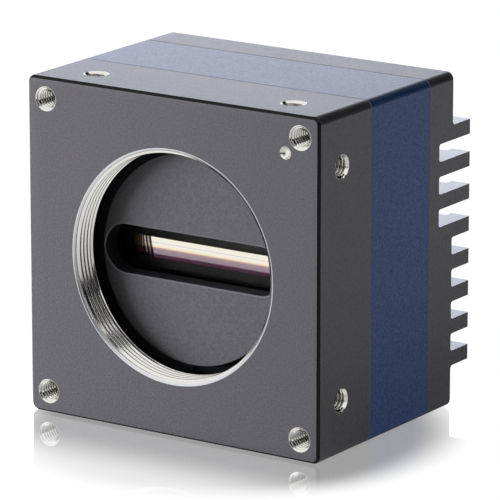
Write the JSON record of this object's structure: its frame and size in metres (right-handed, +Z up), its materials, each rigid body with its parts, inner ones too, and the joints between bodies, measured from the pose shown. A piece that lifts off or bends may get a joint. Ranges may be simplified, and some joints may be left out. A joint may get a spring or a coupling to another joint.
{
  "type": "line scan camera",
  "caption": "Square finned metal camera for machine vision, with a screw lens thread and a slot-shaped window before a long image sensor.",
  "frame": {"origin": "lens axis on the front face", "axes": "+Y runs along the lens axis to the rear, +Z is up, +X is to the right of a viewer who looks at the front"},
  "size_m": [0.062, 0.0495, 0.062],
  "materials": {
    "housing_black": "fine-blasted, black anodised",
    "sleeve_blue": "fine-blasted, dark blue anodised",
    "seal_rubber": "matte",
    "gasket_foam": "matte",
    "screw_steel": "bright stainless",
    "window_glass": "polished, anti-reflection coated",
    "package_ceramic": "matte black",
    "sensor_silicon": "polished",
    "board_laminate": "green solder mask",
    "spacer_brass": "nickel-plated",
    "link_plastic": "moulded",
    "chip_epoxy": "moulded",
    "thermal_pad": "matte",
    "bare_aluminium": "milled",
    "jack_metal": "tin-plated sheet",
    "jack_plastic": "moulded black",
    "contact_gold": "gold-plated",
    "light_clear": "clear moulded",
    "connector_metal": "nickel-plated, turned",
    "inductor_ferrite": "pressed",
    "capacitor_can": "drawn can",
    "lamp_resin": "clear resin"
  },
  "bodies": {
    "root": {"front_housing": "housing_black", "centre_sleeve": "sleeve_blue", "rear_housing": "housing_black", "front_seal": "seal_rubber", "rear_seal": "seal_rubber", "housing_screws": "screw_steel", "light_gasket": "gasket_foam", "sensor_window": "window_glass", "sensor_package": "package_ceramic", "sensor_die": "sensor_silicon", "sensor_board": "board_laminate", "processing_board": "board_laminate", "io_board": "board_laminate", "board_spacers": "spacer_brass", "io_spacers": "spacer_brass", "processing_board_screws": "screw_steel", "io_board_screws": "screw_steel", "sensor_link": "link_plastic", "io_link": "link_plastic", "processor": "chip_epoxy", "memory_chips": "chip_epoxy", "processor_pad": "thermal_pad", "rear_wall_pad": "thermal_pad", "heat_spreader": "bare_aluminium", "jack_shell": "jack_metal", "jack_insert": "jack_plastic", "jack_contacts": "contact_gold", "jack_lights": "light_clear", "network_transformer": "chip_epoxy", "power_connector_shell": "connector_metal", "power_connector_insulator": "jack_plastic", "power_connector_pins": "contact_gold", "power_connector_nut": "connector_metal", "power_inductor": "inductor_ferrite", "power_capacitors": "capacitor_can", "status_light_pipe": "light_clear", "status_led": "lamp_resin"}
  },
  "joints": []
}
